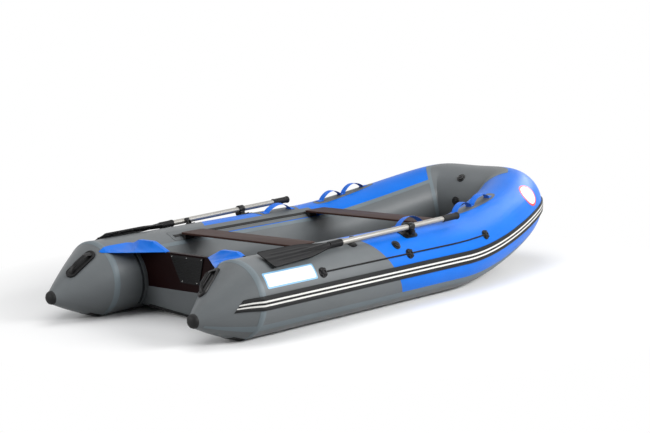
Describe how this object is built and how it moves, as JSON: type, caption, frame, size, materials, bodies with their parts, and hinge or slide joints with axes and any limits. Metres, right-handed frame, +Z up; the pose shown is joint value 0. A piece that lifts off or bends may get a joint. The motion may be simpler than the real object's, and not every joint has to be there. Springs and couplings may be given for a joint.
{
  "type": "inflatable rowing boat",
  "caption": "Inflatable boat with round side tubes, pointed tails, plank seats, a plywood transom and floor, and oars that swing on their rowlocks.",
  "frame": {"origin": "on the ground under the boat, on the centreline, midway between the bow and the tails", "axes": "+X to the bow, +Y to port, +Z up"},
  "size_m": [3.3273, 1.557, 0.5951],
  "materials": {
    "tube_grey": "satin coated fabric",
    "tube_blue": "satin coated fabric",
    "strake_black": "satin",
    "black_rubber": "matte",
    "plywood": "varnished film-faced plywood",
    "aluminium": "satin",
    "black_plastic": "matte",
    "blue_webbing": "woven",
    "black_line": "braided"
  },
  "bodies": {
    "hull": {"port_tube": "tube_blue", "starboard_tube": "tube_blue", "bow_tube": "tube_grey", "port_stern_cone": "tube_grey", "starboard_stern_cone": "tube_grey", "port_cone_cap": "black_rubber", "starboard_cone_cap": "black_rubber", "port_cone_wear_patch": "black_rubber", "starboard_cone_wear_patch": "black_rubber", "rubbing_strake": "strake_black", "hull_bottom": "tube_grey", "keel_strip": "black_rubber", "floor_panel_1": "plywood", "floor_panel_2": "plywood", "floor_panel_3": "plywood", "bow_floor_panel": "plywood", "port_floor_stringer": "aluminium", "starboard_floor_stringer": "aluminium", "transom": "plywood", "port_transom_flange": "black_rubber", "starboard_transom_flange": "black_rubber", "transom_skirt": "tube_grey", "transom_bottom_strip": "black_rubber", "outer_motor_pad": "black_plastic", "inner_motor_pad": "black_plastic", "port_transom_gusset": "tube_blue", "starboard_transom_gusset": "tube_blue", "rear_seat": "plywood", "front_seat": "plywood", "rear_seat_brackets": "black_rubber", "front_seat_brackets": "black_rubber", "port_seat_track": "black_rubber", "starboard_seat_track": "black_rubber", "port_rowlock_base": "black_plastic", "starboard_rowlock_base": "black_plastic", "port_oar_clip": "black_plastic", "starboard_oar_clip": "black_plastic", "port_cone_handle": "black_plastic", "starboard_cone_handle": "black_plastic", "port_single_strap_handle": "blue_webbing", "starboard_single_strap_handle": "blue_webbing", "port_twin_strap_handle": "blue_webbing", "starboard_twin_strap_handle": "blue_webbing", "port_grab_line": "black_line", "starboard_grab_line": "black_line", "port_line_rosettes": "black_rubber", "starboard_line_rosettes": "black_rubber", "port_side_valve": "black_plastic", "starboard_side_valve": "black_plastic", "upper_bow_valve": "black_plastic", "lower_bow_valve": "black_plastic"},
    "port_oar": {"port_oar_shaft": "aluminium", "port_oar_blade": "black_plastic", "port_oar_grip": "black_rubber", "port_oar_yoke": "black_plastic"},
    "starboard_oar": {"starboard_oar_shaft": "aluminium", "starboard_oar_blade": "black_plastic", "starboard_oar_grip": "black_rubber", "starboard_oar_yoke": "black_plastic"}
  },
  "joints": [
    {"name": "port_oar_swing", "type": "hinge", "parent": "hull", "child": "port_oar", "pos_m": [-0.04974, 0.67135, 0.43829], "axis": [0, -0.4384, -0.8988], "range_deg": [0, 125]},
    {"name": "starboard_oar_swing", "type": "hinge", "parent": "hull", "child": "starboard_oar", "pos_m": [-0.04974, -0.67135, 0.43829], "axis": [0, -0.4384, 0.8988], "range_deg": [0, 125]}
  ]
}
